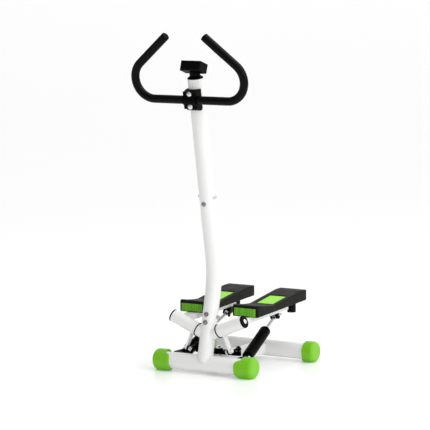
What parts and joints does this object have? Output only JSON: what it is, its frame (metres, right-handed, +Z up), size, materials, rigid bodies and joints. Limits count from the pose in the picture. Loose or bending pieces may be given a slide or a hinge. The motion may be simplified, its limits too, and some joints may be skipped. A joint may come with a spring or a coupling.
{
  "type": "twist stepper with handlebar",
  "caption": "Twist stepper: floor frame, two coupled tilting pedals with hydraulic cylinders, bent post, foam-covered handlebar and a small display.",
  "frame": {"origin": "on the floor, under the middle of the bounding box", "axes": "+Z up, +X towards the right pedal, +Y from the toes of the pedals towards their heels"},
  "size_m": [0.47, 0.6126, 1.2135],
  "materials": {
    "white_powder_coat": "smooth gloss",
    "lime_plastic": "glossy",
    "light_lime_tread": "fine texture",
    "charcoal_plastic": "satin",
    "black_plastic": "satin",
    "black_painted_steel": "satin",
    "black_foam": "matte foam",
    "bright_steel": "bright",
    "display_glass": "clear over a grey screen"
  },
  "bodies": {
    "frame": {"front_stabiliser_tube": "white_powder_coat", "rear_stabiliser_tube": "white_powder_coat", "centre_beam": "white_powder_coat", "post_stub": "white_powder_coat", "foot_cap_front_left": "lime_plastic", "foot_cap_front_right": "lime_plastic", "foot_cap_rear_left": "lime_plastic", "foot_cap_rear_right": "lime_plastic", "pivot_shafts": "bright_steel", "shaft_end_caps": "black_plastic", "shaft_end_bolts": "bright_steel", "cylinder_brackets": "black_painted_steel", "cylinder_pins": "bright_steel", "rocker_bolt": "bright_steel", "handle_post_lower": "white_powder_coat", "handle_post_upper": "white_powder_coat", "post_screws": "bright_steel", "post_cross_bolts": "bright_steel", "clamp_saddle": "black_plastic", "clamp_cover": "black_plastic", "clamp_screws": "bright_steel", "display_collar": "black_plastic", "display_housing": "black_plastic", "display_window": "display_glass"},
    "display_button": {"display_button": "bright_steel"},
    "handlebar": {"handlebar_tube": "black_painted_steel", "grip_left": "black_foam", "grip_right": "black_foam", "bar_end_plugs": "black_plastic"},
    "left_pedal": {"pivot_sleeve_left": "white_powder_coat", "sleeve_bushes_left": "black_plastic", "pedal_arm_left": "white_powder_coat", "lever_arm_left": "white_powder_coat", "pedal_body_left": "charcoal_plastic", "tread_insert_left": "light_lime_tread", "toe_panel_left": "lime_plastic", "bumper_left": "black_foam", "rod_bracket_left": "black_painted_steel", "pedal_fasteners_left": "bright_steel"},
    "right_pedal": {"pivot_sleeve_right": "white_powder_coat", "sleeve_bushes_right": "black_plastic", "pedal_arm_right": "white_powder_coat", "lever_arm_right": "white_powder_coat", "pedal_body_right": "charcoal_plastic", "tread_insert_right": "light_lime_tread", "toe_panel_right": "lime_plastic", "bumper_right": "black_foam", "rod_bracket_right": "black_painted_steel", "pedal_fasteners_right": "bright_steel"},
    "left_cylinder": {"cylinder_body_left": "black_painted_steel"},
    "right_cylinder": {"cylinder_body_right": "black_painted_steel"},
    "left_rod": {"piston_rod_left": "bright_steel", "piston_left": "black_plastic"},
    "right_rod": {"piston_rod_right": "bright_steel", "piston_right": "black_plastic"},
    "rocker": {"rocker_bar": "black_painted_steel"},
    "left_tie": {"tie_link_left": "black_painted_steel"},
    "right_tie": {"tie_link_right": "black_painted_steel"}
  },
  "joints": [
    {"name": "left_pedal_pivot", "type": "hinge", "parent": "frame", "child": "left_pedal", "pos_m": [-0.09239, -0.13171, 0.17407], "axis": [0.9239, 0, -0.3827], "range_deg": [-10, 10]},
    {"name": "right_pedal_pivot", "type": "hinge", "parent": "frame", "child": "right_pedal", "pos_m": [0.09239, -0.13171, 0.17407], "axis": [0.9239, 0, 0.3827], "range_deg": [-10, 10]},
    {"name": "left_cylinder_pivot", "type": "hinge", "parent": "frame", "child": "left_cylinder", "pos_m": [-0.126, -0.08671, 0.053], "axis": [0.9239, 0, -0.3827], "range_deg": [-9.64, 9.64]},
    {"name": "right_cylinder_pivot", "type": "hinge", "parent": "frame", "child": "right_cylinder", "pos_m": [0.126, -0.08671, 0.053], "axis": [0.9239, 0, 0.3827], "range_deg": [-9.64, 9.64]},
    {"name": "left_rod_slide", "type": "slide", "parent": "left_cylinder", "child": "left_rod", "axis": [0.0908, 0.9075, 0.4101], "range_m": [-0.02312, 0.02312]},
    {"name": "right_rod_slide", "type": "slide", "parent": "right_cylinder", "child": "right_rod", "axis": [-0.0908, 0.9075, 0.4101], "range_m": [-0.02312, 0.02312]},
    {"name": "rocker_pivot", "type": "hinge", "parent": "frame", "child": "rocker", "pos_m": [0, -0.06371, 0.068], "axis": [0, 0, 1], "range_deg": [-9.62, 9.62]},
    {"name": "left_tie_hinge", "type": "hinge", "parent": "left_pedal", "child": "left_tie", "pos_m": [-0.08384, -0.13171, 0.08339], "axis": [0.9239, 0, -0.3827], "range_deg": [-10, 10]},
    {"name": "right_tie_hinge", "type": "hinge", "parent": "right_pedal", "child": "right_tie", "pos_m": [0.08384, -0.13171, 0.08339], "axis": [0.9239, 0, 0.3827], "range_deg": [-10, 10]},
    {"name": "handlebar_tilt", "type": "hinge", "parent": "frame", "child": "handlebar", "pos_m": [0, -0.24954, 0.98046], "axis": [1, 0, 0], "range_deg": [-15, 15]},
    {"name": "display_button_press", "type": "slide", "parent": "frame", "child": "display_button", "axis": [0, 0.2924, 0.9563], "range_m": [-0.0015, 0], "stiffness_N_per_m": 400}
  ],
  "couplings": [
    {"joint": "right_pedal_pivot", "follows": "left_pedal_pivot", "ratio": -1},
    {"joint": "left_cylinder_pivot", "follows": "left_pedal_pivot", "ratio": 0.9623},
    {"joint": "right_cylinder_pivot", "follows": "left_pedal_pivot", "ratio": -0.9623},
    {"joint": "left_rod_slide", "follows": "left_pedal_pivot", "m_per_rad": 0.13229},
    {"joint": "right_rod_slide", "follows": "left_pedal_pivot", "m_per_rad": -0.13229},
    {"joint": "rocker_pivot", "follows": "left_pedal_pivot", "ratio": -0.9602},
    {"joint": "left_tie_hinge", "follows": "left_pedal_pivot", "ratio": -1},
    {"joint": "right_tie_hinge", "follows": "left_pedal_pivot", "ratio": 1}
  ]
}
